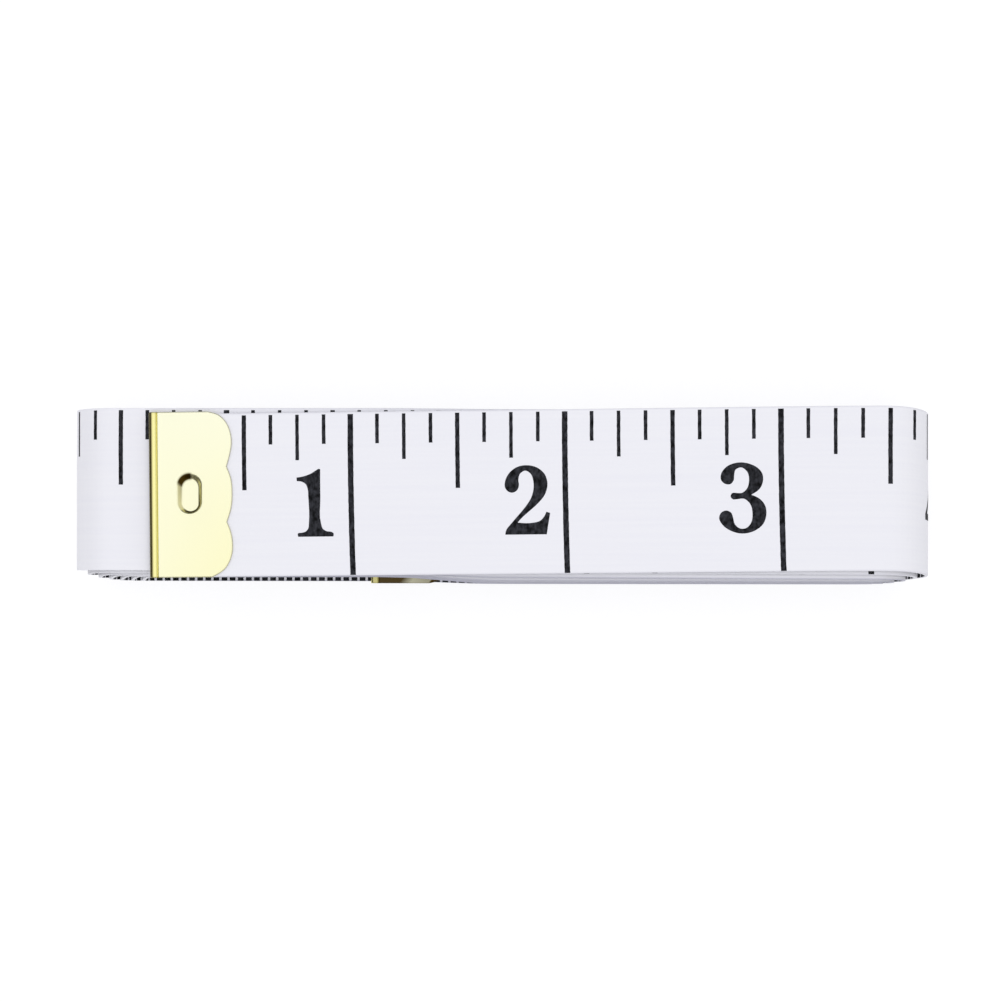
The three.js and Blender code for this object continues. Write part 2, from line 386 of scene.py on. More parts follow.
# %% Winding up, and closing a layout into a solid
def wind(flat, height):
    """Flat points (s, w) at a height off the tape's middle, as points of the row frame in mm."""
    flat = np.asarray(flat, float)
    x, z, nx, nz, side, turn = (np.interp(flat[:, 0], path[0], row) for row in path[1:])
    w = flat[:, 1]
    return np.stack([
        shift_x + x + nx * height - np.sin(turn) * w,
        hinge_y + side + np.cos(turn) * w,
        z + nz * height,
    ], 1)


def anticlockwise(loop):
    """The same outline, run anticlockwise, as filling it with triangles needs."""
    loop = np.asarray(loop, float)
    ahead = np.roll(loop, -1, 0)
    area = np.sum(loop[:, 0] * ahead[:, 1] - loop[:, 1] * ahead[:, 0])
    return loop if area > 0 else loop[::-1]


def close_sheet(faces, count):
    """Front faces, the same faces turned over on a second copy of the points, and the walls."""
    edges = {(a, b) for face in faces for a, b in zip(face, (*face[1:], face[0]))}
    walls = [(a + count, b + count, b, a) for a, b in sorted(edges) if (b, a) not in edges]
    backs = [tuple(corner + count for corner in reversed(face)) for face in faces]
    return [tuple(face) for face in faces] + backs + walls


def add_piece(name, points, faces, material, flat=None, sharp=35.0):
    """A mesh object from points in mm. flat gives each point's place on the unwound strip."""
    mesh = bpy.data.meshes.new(name)
    mesh.from_pydata([tuple(point) for point in np.asarray(points) * MM], [], faces)
    mesh.materials.append(material)
    if flat is not None:
        layer = mesh.uv_layers.new(name="strip")
        corner_points = np.zeros(len(mesh.loops), np.int32)
        mesh.loops.foreach_get("vertex_index", corner_points)
        layer.data.foreach_set("uv", np.asarray(flat, np.float32)[corner_points].ravel())
    mesh.shade_smooth()
    mesh.set_sharp_from_angle(angle=math.radians(sharp))
    mesh.update()
    piece = bpy.data.objects.new(name, mesh)
    bpy.context.scene.collection.objects.link(piece)
    print(f"{name}: {len(mesh.vertices)} points, {len(mesh.polygons)} faces")
    return piece


def add_share(piece, name, values):
    """A value from 0 to 1 at each point of a mesh, which a material reads by its name."""
    layer = piece.data.attributes.new(name, "FLOAT", "POINT")
    layer.data.foreach_set("value", np.asarray(values, np.float32))


# %% [markdown]
# ## The tape's material
#
# The strip is glass-fibre cloth dipped in white vinyl and rolled smooth. The vinyl fills most of
# the weave, so the eye sees a clean, slightly cool white with a low sheen, faint streaks along
# the warp, and the weave only as a slight unevenness. The threads stand about 0.35 mm apart, and a
# streak is about 25 mm long and half a millimetre wide.
#
# The slit edges are painted greyer. A little of it is the grey of the open glass threads, and most
# of it is painted shade from the laps above, so the inner laps get the most and the left bends little.

# %% Vinyl-coated glass cloth
thread_pitch, thread_relief = 0.35, 0.012
streak_length, streak_width = 25, 0.4545
edge_reach, edge_full = 0.25, 0.02
bands_per_unit = 2 * math.pi / 20

cloth, tree = new_material("vinyl_coated_glass_cloth")
strip = add_node(tree, "ShaderNodeUVMap", uv_map="strip").outputs[0]
warp = add_node(tree, "ShaderNodeTexWave", {"Vector": strip, "Scale": bands_per_unit / (2 * thread_pitch),
                "Distortion": 0.6, "Detail": 1.0}, bands_direction="X")
weft = add_node(tree, "ShaderNodeTexWave", {"Vector": strip, "Scale": bands_per_unit / (2 * thread_pitch),
                "Distortion": 0.6, "Detail": 1.0}, bands_direction="Y")
weave = add_node(tree, "ShaderNodeMath", {0: warp.outputs["Fac"], 1: weft.outputs["Fac"]},
                 operation="MULTIPLY")
lengthwise = add_node(tree, "ShaderNodeMapping", {"Vector": strip,
                      "Scale": (1 / streak_length, 1 / streak_width, 1)})
streaks = add_node(tree, "ShaderNodeTexNoise", {"Vector": lengthwise.outputs[0], "Scale": 1.0,
                   "Detail": 3.0})
streak_shade = add_node(tree, "ShaderNodeMapRange", {"Value": streaks.outputs["Fac"],
                        "From Min": 0.35, "From Max": 0.65})
face_white = add_node(tree, "ShaderNodeMix", {"Factor": streak_shade.outputs[0], "A": from_hex("EAEAF2"),
                      "B": from_hex("ECECF3")}, data_type="RGBA")
across = add_node(tree, "ShaderNodeSeparateXYZ", {"Vector": strip})
from_middle = add_node(tree, "ShaderNodeMath", {0: across.outputs["Y"]}, operation="ABSOLUTE")
at_edge = add_node(tree, "ShaderNodeMapRange", {"Value": from_middle.outputs[0],
                   "From Min": tape_width / 2 - edge_reach, "From Max": tape_width / 2 - edge_full})
# Painted shade: near the slit edges the white is darkened towards B2B2C2, by a share that each point of
# the tape carries.
edge_grey_and_shade = add_node(tree, "ShaderNodeAttribute", attribute_name="edge_grey_and_shade")
edge_darkening = add_node(tree, "ShaderNodeMath", {0: at_edge.outputs[0], 1: edge_grey_and_shade.outputs["Fac"]},
                operation="MULTIPLY")
tint = add_node(tree, "ShaderNodeMix", {"Factor": edge_darkening.outputs[0], "A": face_white.outputs["Result"],
                "B": from_hex("B2B2C2")}, data_type="RGBA")
bump = add_node(tree, "ShaderNodeBump", {"Height": weave.outputs[0], "Strength": 0.35,
                "Distance": thread_relief * MM})
surface = add_node(tree, "ShaderNodeBsdfPrincipled", {"Base Color": tint.outputs["Result"],
                   "Roughness": 0.46, "IOR": 1.5, "Normal": bump.outputs[0]})
add_node(tree, "ShaderNodeOutputMaterial", {"Surface": surface.outputs[0]})
print("threads", thread_pitch, "mm apart")

# %% [markdown]
# ## The tape
#
# The strip is a closed solid 0.42 mm thick with rounded edges. It could be one mesh with a
# solidify modifier, but the ends also need the slot that each clip's stake passes through, so the
# flat layout is built as rows of points, one row for each station, and closed by the function
# above. The lap that lifts and the bend it hangs from are one piece, the rest is another; they
# meet under the pack, where the lifted lap never moves them.

# %% The two pieces of the tape
edge_round = 0.06
slot_half_length, slot_half_width = 2.75, 1.8
stake_place = 4.85
# Along the strip the painted edge shade rises from the outer laps' share to full, and at the left bends,
# from x -42 to -34 mm, it is cut to a small share.
edge_shade_begins, edge_shade_full, outer_lap_edge_share = 320, 420, 0.25
left_bend_full, left_bend_ends, left_bend_edge_share = -42, -34, 0.08


def slot_reach(distance):
    """Half the slot's length across the tape, at a distance from the slot's middle."""
    return slot_half_length - slot_half_width + math.sqrt(max(0, slot_half_width**2 - distance**2))


def edge_grey_and_shade_share(points, flat):
    """How grey the slit edges are painted: a little for the open threads, most as painted shade on the
    inner laps, little at the left bends.
    """
    inward = np.interp(flat[:, 0], (edge_shade_begins, edge_shade_full), (outer_lap_edge_share, 1))
    return inward * np.interp(points[:, 0], (left_bend_full, left_bend_ends), (left_bend_edge_share, 1))


def tape_piece(name, first, last):
    """The strip between two distances, with the slot where a stake passes through."""
    stakes = [stake_place, tape_length - stake_place]
    rows = [s for s in path[0] if first <= s <= last]
    for stake in stakes:
        rows += [stake + slot_half_width * math.sin(math.radians(turn)) for turn in range(-90, 91, 15)]
    rows = sorted({round(s, 6) for s in rows if first <= s <= last})
    half = tape_width / 2
    flat, faces = [], []
    for s in rows:
        nearest = min(stakes, key=lambda stake: abs(stake - s))
        gap = slot_reach(min(abs(nearest - s), slot_half_width))
        flat += [(s, w) for w in (-half, -half + edge_round, -gap, gap, half - edge_round, half)]
    for row in range(len(rows) - 1):
        middle = (rows[row] + rows[row + 1]) / 2
        open_here = any(abs(stake - middle) < slot_half_width for stake in stakes)
        for column in range(5):
            if not (column == 2 and open_here):
                a = 6 * row + column
                faces.append((a, a + 6, a + 7, a + 1))
    flat = np.array(flat)
    height = np.where(np.abs(flat[:, 1]) > half - edge_round / 2, 0.5 * tape_thickness - edge_round,
                      0.5 * tape_thickness)
    points = np.concatenate([wind(flat, height), wind(flat, -height)])
    flat = np.concatenate([flat, flat])
    piece = add_piece(name, points, close_sheet(faces, len(flat) // 2), cloth, flat)
    add_share(piece, "edge_grey_and_shade", edge_grey_and_shade_share(points, flat))
    return piece


tape_free_lap = tape_piece("tape_free_lap", start_s, seam_s)
tape_winding = tape_piece("tape_winding", seam_s, path[0][-1])

# %% [markdown]
# ## The numerals
#
# The figures are the fat, round-ended kind that has been used on measures for a century: thick
# upright strokes, thin joins, and a ball at the end of each curl. Text objects would need a font
# file, so the ten figures are drawn here as outlines, on a grid that is 100 high. A third number
# in a point marks a corner; every other point is passed in a smooth curve.

# %% Outlines of the ten figures
SIX = [
    [(37, 101.5), (51, 98), (60, 89), (61.5, 80), (58, 72), (50.5, 69.8), (43.5, 73), (41.5, 80),
     (43, 87), (42.5, 92.5), (37, 94.5), (29, 90), (23, 76), (21.3, 55, 1), (30, 61.5), (40, 63.5),
     (58, 55), (65.5, 32), (57, 8), (34, -1.5), (12, 8), (1.5, 28), (0, 48), (4, 72), (17, 93)],
    [(33, 55.5), (25.5, 50), (22, 32), (25, 12), (33.5, 4.5), (41, 11), (45, 31), (41.5, 50)],
]
FIGURES = {
    "0": [
        [(32, -1.5), (51, 6.5), (62.5, 29), (64.5, 50), (62.5, 71), (51, 93.5), (32, 101.5),
         (13, 93.5), (1.5, 71), (-0.5, 50), (1.5, 29), (13, 6.5)],
        [(32, 5), (24.5, 12), (20.7, 32), (20.2, 50), (20.7, 68), (24.5, 88), (32, 95),
         (39.5, 88), (43.3, 68), (43.8, 50), (43.3, 32), (39.5, 12)],
    ],
    "1": [
        [(0, 86.4, 1), (11.6, 88.5), (21.6, 92.2), (28.2, 96.3), (33.2, 98.8), (34.9, 98.2, 1),
         (34.5, 56), (34.8, 18.7), (37.4, 11.2), (42.4, 7.9), (50.7, 6.3), (52.7, 4.6), (52.3, 0, 1),
         (0.8, 0, 1), (0.6, 4.9), (6.6, 5.8), (12.5, 7.9), (15.8, 12), (17, 20), (16.9, 58),
         (16.2, 69.5), (13.3, 76.8), (8.3, 80.1), (0.4, 81.2, 1)],
    ],
    "2": [
        [(0, 0, 1), (60.2, 0, 1), (65.8, 31, 1), (60.4, 32.7, 1), (56.6, 25.4), (50.7, 19.5),
         (43.4, 17.4), (18.3, 17.4, 1), (24.2, 23.9), (36, 34.2), (47.8, 44.5), (59.2, 58.7),
         (62.8, 73.5), (59, 87.3), (47.8, 97.2), (33.6, 100.6), (20.5, 98.8), (8.6, 91), (1.3, 78),
         (1, 68.5), (5.2, 62.8), (11.4, 61), (18, 64), (21.2, 71), (20.6, 79.5), (23.3, 88.6),
         (31, 92.8), (38.7, 88), (42.3, 77), (42.3, 66), (38.9, 53.8), (30.7, 41), (21.2, 29.8),
         (9.4, 16.5), (1, 5.5)],
    ],
    "3": [
        [(32.7, 101.2), (45.5, 99), (57, 93), (63.6, 84.5), (64.6, 75.5), (60.8, 64.5), (47.2, 54.2, 1),
         (60, 47.6), (67, 38), (68.3, 25.5), (63.7, 12.2), (50.4, 1.8), (32.7, -1.8), (16, 2.6),
         (4.5, 11.5), (0.2, 20.5), (3, 28.4), (10, 31.8), (17.6, 28.6), (20.4, 20.8), (22.4, 12.2),
         (30, 5.6), (38, 5.8), (45.5, 12.6), (48.4, 26), (45, 41.5), (36.5, 48.6), (26, 47.9),
         (20.6, 47.9), (17.4, 52), (19.4, 56.6), (25.5, 57), (33, 56.8), (40.3, 62), (44.3, 74.3),
         (41.8, 87.6), (33, 93.9), (25, 90.5), (23, 82.5), (22.2, 75.5), (17.6, 70), (9.6, 70.4),
         (4, 76), (4.4, 85.4), (12, 95)],
    ],
    "4": [
        [(41, 100.5, 1), (53.5, 100.5, 1), (53.5, 33, 1), (66, 33, 1), (66, 23, 1), (53.5, 23, 1),
         (53.7, 13), (57, 7.4), (64, 5.6, 1), (64, 0, 1), (26, 0, 1), (26, 5.6, 1), (33, 7.4),
         (36.3, 13), (36.5, 23, 1), (0, 23, 1), (0, 32, 1), (14, 52), (28, 76)],
        [(36.5, 33, 1), (36.5, 79, 1), (25, 57.5), (9.5, 33, 1)],
    ],
    "5": [
        [(11, 100, 1), (32, 97), (55, 100, 1), (58.5, 99, 1), (54, 87), (43, 80.5), (30, 79.4),
         (17.4, 81, 1), (16.4, 58, 1), (25, 63), (36, 64.6), (55, 57), (66, 33), (57, 8.5),
         (33, -1.6), (15, 3), (3.4, 12), (0.2, 20.5), (3, 28.4), (10, 31.8), (17.6, 28.6),
         (20.4, 20.8), (22.4, 12.2), (29, 5.8), (35.5, 5.4), (42.5, 12), (45.6, 32), (42.5, 50),
         (33.5, 57.2), (22, 54), (15, 47.8, 1), (8.6, 49, 1)],
    ],
    "6": SIX,
    "7": [
        [(4.5, 99.5, 1), (2, 68, 1), (7.4, 67.4, 1), (11.5, 75), (19, 80.6), (32, 82), (49.5, 81.5, 1),
         (37, 62), (24.5, 38), (19.5, 14), (19.2, 0, 1), (40.5, 0, 1), (41.5, 20), (47, 42),
         (57.5, 68), (65.5, 89, 1), (65.5, 99.5, 1)],
    ],
    "8": [
        [(33, 101.5), (51, 96.5), (59.5, 77), (55.5, 62), (46.5, 53), (60, 43), (65.5, 26), (57, 6),
         (33, -1.5), (9, 6), (0.5, 26), (6, 43), (19.5, 53), (10.5, 62), (6.5, 77), (15, 96.5)],
        [(33, 95), (25, 90), (22, 77), (25.5, 63), (33, 57.5), (40.5, 63), (44, 77), (41, 90)],
        [(33, 48), (23, 41), (19, 26), (23, 10), (33, 4.5), (43, 10), (47, 26), (43, 41)],
    ],
    "9": [[(65.5 - x, 100 - y, *corner) for x, y, *corner in loop] for loop in SIX],
}


def trace(points, steps):
    """The closed curve through the points, as a polygon with some steps to each span."""
    place = np.array([point[:2] for point in points], float)
    corner = [len(point) > 2 for point in points]
    span = np.roll(place, -1, 0) - place
    length = np.linalg.norm(span, axis=1)[:, None]
    ahead = span / length
    before = np.roll(length, 1, 0)
    tangent = (np.roll(ahead, 1, 0) * length + ahead * before) / (length + before)
    loop = []
    for a in range(len(points)):
        b = (a + 1) % len(points)
        leave, arrive = tangent[a], tangent[b]
        if corner[a]:
            leave = ahead[a] if corner[b] else (3 * ahead[a] - tangent[b]) / 2
        if corner[b]:
            arrive = ahead[a] if corner[a] else (3 * ahead[a] - tangent[a]) / 2
        count = 1 if corner[a] and corner[b] else steps
        for t in (step / count for step in range(count)):
            loop.append(
                (2 * t**3 - 3 * t**2 + 1) * place[a] + (t**3 - 2 * t**2 + t) * length[a] * leave
                + (3 * t**2 - 2 * t**3) * place[b] + (t**3 - t**2) * length[a] * arrive
            )
    return np.array(loop)


print("figures drawn:", " ".join(sorted(FIGURES)))

# %% [markdown]
# ## Printing
#
# Ink painted into a texture would blur on a strip this long, so each tick and figure is its own
# thin film of ink, 0.012 mm proud of the tape. Each shape is laid out flat, cut wherever the tape
# bends, filled with triangles, and wound up with the tape. The cloth isn't quite smooth, so the
# sides of the ticks waver by a hundredth of a millimetre or so.
#
# Inches are on the outer face, with their ticks hanging from the far edge. Centimetres are on
# the inner face, with millimetre ticks along the near edge. Turned over, both read upright.

# %% One layer of print
ink_height, ink_root = 0.012, 0.02
waver = 0.014
print_lean, print_bow = -0.16, 0.33
figure_spacing = 7
chance = random.Random(7)


class Print:
    """The films of one face of the tape, kept apart for the two pieces of the tape."""

    def __init__(self, face):
        self.face = face
        self.flat = {True: [], False: []}
        self.triangles = {True: [], False: []}

    def bowed(self, loop):
        """The outline, drawn a little out of square as the cloth is, on the inch face."""
        down = 0.5 - loop[:, 1] / tape_width
        skew = (print_lean + print_bow * down) * down if self.face > 0 else 0 * down
        return np.stack([loop[:, 0] + skew, loop[:, 1]], 1)

    def add(self, loops):
        """Fills the outlines, each a list of (s, w), cutting them at the stations of the bends."""
        loops = [self.bowed(anticlockwise(loop)) for loop in loops]
        low = min(loop[:, 0].min() for loop in loops)
        high = max(loop[:, 0].max() for loop in loops)
        cuts = bend_marks[bisect.bisect_right(bend_marks, low) : bisect.bisect_left(bend_marks, high)]
        points = [Vector(point) for loop in loops for point in loop]
        areas, start = [], 0
        for loop in loops:
            areas.append(list(range(start, start + len(loop))))
            start += len(loop)
        edges = []
        for s in cuts:
            edges.append((len(points), len(points) + 1))
            points += [Vector((s, -tape_width)), Vector((s, tape_width))]
        filled = delaunay_2d_cdt(points, edges, areas, 1, 1e-6, True)
        found = [face for face, within in zip(filled[2], filled[5]) if len(within) % 2 == 1]
        for loose in (True, False):
            chosen = [face for face in found
                      if (sum(filled[0][corner][0] for corner in face) / 3 < seam_s) == loose]
            used = sorted({corner for face in chosen for corner in face})
            place = {corner: len(self.flat[loose]) + at for at, corner in enumerate(used)}
            self.flat[loose] += [(filled[0][corner][0], filled[0][corner][1]) for corner in used]
            self.triangles[loose] += [tuple(place[corner] for corner in face) for face in chosen]

    def piece(self, name, loose, material):
        """The films on one piece of the tape, as one mesh."""
        flat = np.array(self.flat[loose])
        inner = 0.5 * tape_thickness - ink_root
        outer = 0.5 * tape_thickness + ink_height
        high, low = (outer, inner) if self.face > 0 else (-inner, -outer)
        points = np.concatenate([wind(flat, high), wind(flat, low)])
        faces = close_sheet(self.triangles[loose], len(flat))
        return add_piece(name, points, faces, material, np.concatenate([flat, flat]))


def tick(s, width, inner_end, outer_end, step=0.0):
    """A printed line across the tape, with slightly uneven sides where a step is given."""
    count = max(1, round(abs(outer_end - inner_end) / step)) if step else 1
    levels = np.linspace(inner_end, outer_end, count + 1)
    left, right = ([(s + way * (width / 2 + (chance.uniform(-waver, waver) if step else 0)), w)
                    for w in levels] for way in (-1, 1))
    return np.array(left + right[::-1])


def numeral(text, right, base, size, squeeze=1.0, steps=4, upright=1):
    """The outlines of a number that ends at a distance along the tape, standing on a base line."""
    loops, place = [], 0.0
    for figure in text:
        for outline in FIGURES[figure]:
            loop = trace(outline, steps)
            loop[:, 0] += place
            loops.append(loop)
        place += max(point[0] for point in FIGURES[figure][0]) + figure_spacing
    width = place - figure_spacing
    for loop in loops:
        loop[:, 0] = right + (loop[:, 0] - width) * size / 100 * squeeze
        loop[:, 1] = upright * (base + loop[:, 1] * size / 100)
    return loops


print("ink film", ink_height, "mm proud of the tape")

# %% [markdown]
# The ink is a matt charcoal laid on by a printing roller. It sits on the high threads and thins
# out between them, so it looks mottled rather than black. The mottles are drawn two threads wide,
# because those of single threads would be too fine to show.

# %% Printing ink
mottle_along, mottle_across = 0.5263, 0.8333
ink, tree = new_material("roller_printed_charcoal_ink")
strip = add_node(tree, "ShaderNodeUVMap", uv_map="strip").outputs[0]
mottle_place = add_node(tree, "ShaderNodeMapping", {"Vector": strip,
                        "Scale": (1 / mottle_along, 1 / mottle_across, 1)})
mottles = add_node(tree, "ShaderNodeTexNoise", {"Vector": mottle_place.outputs[0], "Scale": 1.0,
                   "Detail": 3.0, "Roughness": 0.6})
cover = add_node(tree, "ShaderNodeMapRange", {"Value": mottles.outputs["Fac"], "From Min": 0.36,
                 "From Max": 0.64})
tone = add_node(tree, "ShaderNodeMix", {"Factor": cover.outputs[0], "A": from_hex("07080A"),
                "B": from_hex("35363C")}, data_type="RGBA")
surface = add_node(tree, "ShaderNodeBsdfPrincipled", {"Base Color": tone.outputs["Result"],
                   "Roughness": 0.55, "Specular IOR Level": 0.08})
add_node(tree, "ShaderNodeOutputMaterial", {"Surface": surface.outputs[0]})
print("ink from 07080A to 35363C")

# %% [markdown]
# The inch scale has a full line at each inch and shorter ticks for halves, quarters and eighths.
# Its zero lies 1.27 mm outside the clip's fold, and it has nothing printed under the clips. From
# the middle of the second turn on, the inch lines end half a millimetre earlier, because print on
# cloth drifts.

# %% The inch scale
inch = 25.4
zero_outside = 1.27
far_edge = tape_width / 2 - 0.26
clip_cover = 9.2
ticks_of_inch = {0: (0.66, 19.08), 4: (0.52, 8.9), 2: (0.42, 5.4), 6: (0.42, 5.4)}
eighth_tick = (0.43, 3.5)
figure_height, figure_base = 8.13, -5.05
figure_gap, usual_gap = {"1": 2.18}, 1.85
drift_begins, line_drift = 320, 0.5
waver_step = 0.35

inches = Print(1)
for eighth in range(1, round(8 * tape_length / inch)):
    s = inch * eighth / 8 - zero_outside
    if clip_cover < s < tape_length - clip_cover:
        width, length = ticks_of_inch.get(eighth % 8, eighth_tick)
        if eighth % 8 == 0 and s > drift_begins:
            length -= line_drift
        inches.add([tick(s, width, far_edge - length, far_edge, waver_step)])
        if eighth % 8 == 0:
            text = str(eighth // 8)
            right = s - figure_gap.get(text[-1], usual_gap)
            inches.add(numeral(text, right, figure_base, figure_height))
inches_free_lap = inches.piece("inches_free_lap", True, ink)
inches_winding = inches.piece("inches_winding", False, ink)

# %% [markdown]
# The centimetre scale is the same idea in tens: a line at each centimetre, a middling tick at
# each half, a short tick at each millimetre, and a line right across at each ten centimetres.
# Figures up to 151 have to fit between two centimetre lines, so they are smaller and narrower.
#
# This scale has its own zero, 1.11 mm outside the fold, and runs on under the clips' corners.

# %% The centimetre scale
near_edge = tape_width / 2 - 0.03
cm_ticks = {0: (0.7, 12.0), 5: (0.7, 5.2)}
cm_cover = 7.5
cm_zero_outside = 1.11
mm_tick, decimetre_line = (0.7, 3.2), 19.3
cm_figure_height, cm_figure_base, cm_figure_gap = 4.9, -6.2, 0.75
cm_squeeze = {1: 0.95, 2: 0.95, 3: 0.78}

centimetres = Print(-1)
for millimetre in range(1, round(tape_length)):
    s = millimetre - cm_zero_outside
    if cm_cover < s < tape_length - cm_cover:
        width, length = cm_ticks.get(millimetre % 10, mm_tick)
        if millimetre % 100 == 0:
            length = decimetre_line
        centimetres.add([-1 * tick(-s, width, near_edge - length, near_edge)])
        if millimetre % 10 == 0:
            text = str(millimetre // 10)
            centimetres.add(numeral(text, s - cm_figure_gap, cm_figure_base, cm_figure_height,
                                    cm_squeeze[len(text)], 2, -1))
centimetres_free_lap = centimetres.piece("centimetres_free_lap", True, ink)
centimetres_winding = centimetres.piece("centimetres_winding", False, ink)

# %% [markdown]
# ## The brass clips
#
# Each clip is stamped from pale brass strip, 0.2 mm thick, and folded over the end of the tape.
# The far edge of each leaf is cut in three lobes, a scored line runs behind the fold, and an
# oblong stake is punched down through the tape to hold it.
#
# The clip is made as the press makes it: a flat blank with all its outlines, then folded. The
# blank is filled with triangles between the outline, the fold lines, the score lines and the
# rings of the stake. Each point is then moved by how far it is from those features, and the
# blank is bent round the fold.

# %% The flat blank of a clip
leaf_thickness = 0.2
fold_radius = clip_outside - leaf_thickness / 2
fold_half = math.pi * fold_radius / 2
clip_half, clip_slip = 9.85, 0.1
lobes = [(7.12, clip_half, 1), (8.57, 9.35), (9.52, 8.2), (9.88, 7.1), (9.96, 6.0), (9.74, 4.7),
         (9.34, 3.28, 1), (9.84, 1.9), (10.0, 0.1), (9.86, -1.6), (9.34, -3.3, 1), (9.82, -4.6),
         (10.0, -5.9), (9.84, -7.4), (9.12, -8.8), (7.52, -clip_half, 1)]
score_place, score_half, score_depth = 0.95, 0.17, 0.11
bead_start, bead_width, bead_rise = 0.2, 0.66, 0.025
rim_width, rim_drop = 0.16, 0.1
rim_insets = (0.03, 0.08, rim_width)
side_marks = (0.0, 3.6, 5.0)
lobe_steps, fold_lines, score_lines, plain_lines = 7, 19, 7, (0.55, 0.7, 1.2)
mouth_half_length, mouth_half_width = 2.54, 1.6
floor_half_length, floor_half_width = 1.78, 0.88
middle_half_length, middle_half_width = 1.3, 0.35
well_rings, well_levels = 9, 41
stake_slip = 0.2
floor_slip = (0.1, -0.35)
stake_depth = 0.46


def leaf_t(x):
    """A place on the leaf, measured from the fold's outer face, as a distance along the blank."""
    return fold_half + x - clip_outside


def oblong(middle, half_length, half_width, count=56):
    """A ring of points round an oblong that lies across the clip."""
    ring = []
    for turn in (2 * math.pi * step / count for step in range(count)):
        end = (half_length - half_width) * (1 if math.sin(turn) >= 0 else -1)
        t, w = half_width * math.cos(turn), half_width * math.sin(turn)
        ring.append((middle[0] + t, middle[1] + end + w))
    return ring


def well_outline(share):
    """The stake's well at a share of the way from mouth to floor: middle, half length, half width."""
    middle = (leaf_t(stake_place) + floor_slip[0] * share, stake_slip + floor_slip[1] * share)
    half_length = mouth_half_length - (mouth_half_length - floor_half_length) * share
    half_width = mouth_half_width - (mouth_half_width - floor_half_width) * share
    return middle, half_length, half_width


def clip_blank():
    """The blank's points (t, w) and triangles, and its outline."""
    side = [(x, clip_half, 1) for x in side_marks]
    curve = trace(side + lobes + [(x, -w, 1) for x, w, _ in reversed(side)], lobe_steps)
    edge = [point for point in curve if point[0] > side_marks[0]]
    top = [(leaf_t(x), w) for x, w in edge]
    bottom = [(-t, w) for t, w in reversed(top)]
    outline = anticlockwise(top + bottom)
    rings, lines = [outline], []
    ahead = np.roll(outline, -1, 0) - np.roll(outline, 1, 0)
    inward = np.stack([-ahead[:, 1], ahead[:, 0]], 1) / np.linalg.norm(ahead, axis=1)[:, None]
    rings += [outline + inward * inset for inset in rim_insets]
    rings += [oblong(*well_outline(share)) for share in np.linspace(0, 1, well_rings)]
    rings.append(oblong(well_outline(1)[0], middle_half_length, middle_half_width))
    for t in np.linspace(-fold_half, fold_half, fold_lines):
        lines.append([(t, -clip_half), (t, clip_half)])
    score = np.linspace(score_place - score_half, score_place + score_half, score_lines)
    for x in (*plain_lines, *score):
        for way in (-1, 1):
            lines.append([(way * leaf_t(x), -clip_half), (way * leaf_t(x), clip_half)])
    points, edges = [], []
    for loop in rings:
        first = len(points)
        points += [Vector(point) for point in loop]
        edges += [(first + at, first + (at + 1) % len(loop)) for at in range(len(loop))]
    for line in lines:
        edges.append((len(points), len(points) + 1))
        points += [Vector(point) for point in line]
    filled = delaunay_2d_cdt(points, edges, [list(range(len(outline)))], 1, 1e-5, True)
    faces = [face for face, within in zip(filled[2], filled[5]) if within]
    used = sorted({corner for face in faces for corner in face})
    place = {corner: at for at, corner in enumerate(used)}
    flat = np.array([tuple(filled[0][corner]) for corner in used])
    return flat, [tuple(place[corner] for corner in face) for face in faces], outline


blank, blank_faces, blank_outline = clip_blank()
print(f"clip blank: {len(blank)} points, {len(blank_faces)} triangles")

# %% [markdown]
# The blank is folded by bending its middle plane round the fold. The rim is rounded, the score
# line is pressed in, and the stake is a smooth well whose floor meets the lower leaf.

# %% Folding the blank
def distance_to_outline(points):
    """Each point's distance from the blank's outline."""
    nearest = np.full(len(points), np.inf)
    for a, b in zip(blank_outline, np.roll(blank_outline, -1, 0)):
        run = b - a
        share = np.clip(((points - a) @ run) / max(run @ run, 1e-12), 0, 1)
        nearest = np.minimum(nearest, np.linalg.norm(points - a - share[:, None] * run, axis=1))
    return nearest


def stake_well(flat):
    """How deep the stake is pressed at each point of the blank, as a share of its full depth."""
    share = np.zeros(len(flat))
    for level in np.linspace(0, 1, well_levels):
        middle, half_length, half_width = well_outline(level)
        t, w = np.abs(flat - middle).T
        inside = np.hypot(t, np.maximum(w - (half_length - half_width), 0)) <= half_width + 1e-4
        share[inside] = level
    return smooth_step(share)


def folded_clip():
    """The clip's points in its own frame, in mm, and its faces."""
    t, w = blank.T
    rim = np.clip(1 - distance_to_outline(blank) / rim_width, 0, 1)
    rounding = rim_drop * (1 - np.sqrt(1 - rim**2))
    x = np.abs(t) - fold_half + clip_outside
    score = score_depth * (1 - smooth_step(np.abs(x - score_place) / score_half))
    bead = bead_rise * np.sin(math.pi * np.clip((x - bead_start) / bead_width, 0, 1)) ** 2
    well = stake_depth * np.where(t > 0, stake_well(blank), 0)
    outer = leaf_thickness / 2 - rounding - score + bead - well
    inner = -leaf_thickness / 2 + rounding - well
    angle = np.clip(t / fold_radius, -math.pi / 2, math.pi / 2)
    on_leaf = np.maximum(np.abs(t) - fold_half, 0)
    sheets = []
    for level in (outer, inner):
        radius = fold_radius + level
        x = clip_outside + on_leaf - radius * np.cos(angle)
        sheets.append(np.stack([x, w, radius * np.sin(angle)], 1))
    return np.concatenate(sheets), close_sheet(blank_faces, len(blank))


clip_points, clip_faces = folded_clip()
print("clip is", np.round(np.ptp(clip_points, axis=0), 2), "mm")

